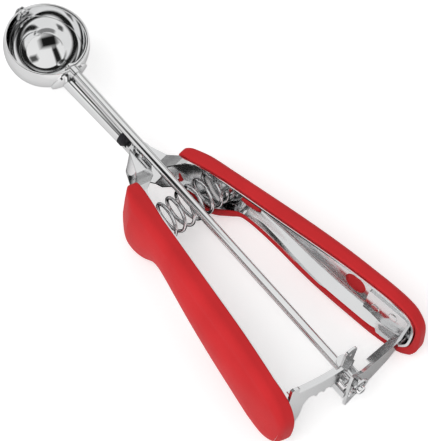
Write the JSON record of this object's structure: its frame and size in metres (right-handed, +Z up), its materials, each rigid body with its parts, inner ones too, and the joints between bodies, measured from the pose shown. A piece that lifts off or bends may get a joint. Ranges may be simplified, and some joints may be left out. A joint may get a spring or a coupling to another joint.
{
  "type": "cookie scoop",
  "caption": "Cookie scoop with two soft-grip squeeze handles, a compression spring, and a rack and pinion that sweep a wiper blade inside a hemispherical bowl",
  "frame": {"origin": "middle of the bounding box, on the surface the scoop lies on", "axes": "+X from the bowl towards the handles' ends, +Y towards the fixed handle, +Z up out of the bowl, square to the surface it lies on"},
  "size_m": [0.2057, 0.0744, 0.0398],
  "materials": {
    "polished_steel": "mirror-polished stainless steel",
    "spring_steel": "bright drawn spring wire",
    "grip_rubber": "matte soft red rubber",
    "black_plastic": "black moulded plastic"
  },
  "bodies": {
    "frame": {"bowl": "polished_steel", "bowl_saddle": "polished_steel", "front_bush": "polished_steel", "neck_tube": "polished_steel", "neck_plug": "black_plastic", "neck_strap": "polished_steel", "pivot_barrel": "polished_steel", "pivot_pin": "polished_steel", "fixed_tray": "polished_steel", "fixed_grip": "grip_rubber", "fixed_spring_seat": "polished_steel", "spring": "spring_steel", "bearing_arm": "polished_steel", "bearing_rivets": "polished_steel", "rod_bush": "polished_steel", "guide_bracket": "polished_steel", "guide_rivets": "polished_steel", "wiper_rivet": "polished_steel"},
    "squeeze_handle": {"squeeze_tray": "polished_steel", "squeeze_grip": "grip_rubber", "squeeze_spring_seat": "polished_steel", "rack_arm": "polished_steel", "rack_rivets": "polished_steel"},
    "rod": {"rod": "polished_steel", "pinion": "polished_steel", "push_nut": "polished_steel", "wiper_blade": "polished_steel"}
  },
  "joints": [
    {"name": "handle_squeeze", "type": "hinge", "parent": "frame", "child": "squeeze_handle", "pos_m": [-0.02718, 0, 0.01738], "axis": [0.1009, 0, 0.9949], "range_deg": [0, 4.29], "stiffness_Nm_per_rad": 2, "deforming": ["spring"]},
    {"name": "rod_spin", "type": "hinge", "parent": "frame", "child": "rod", "pos_m": [0.01475, 0, 0.02443], "axis": [0.9949, 0, -0.1009], "range_deg": [-162.99, 0]}
  ],
  "couplings": [
    {"joint": "rod_spin", "follows": "handle_squeeze", "ratio": -37.969}
  ]
}
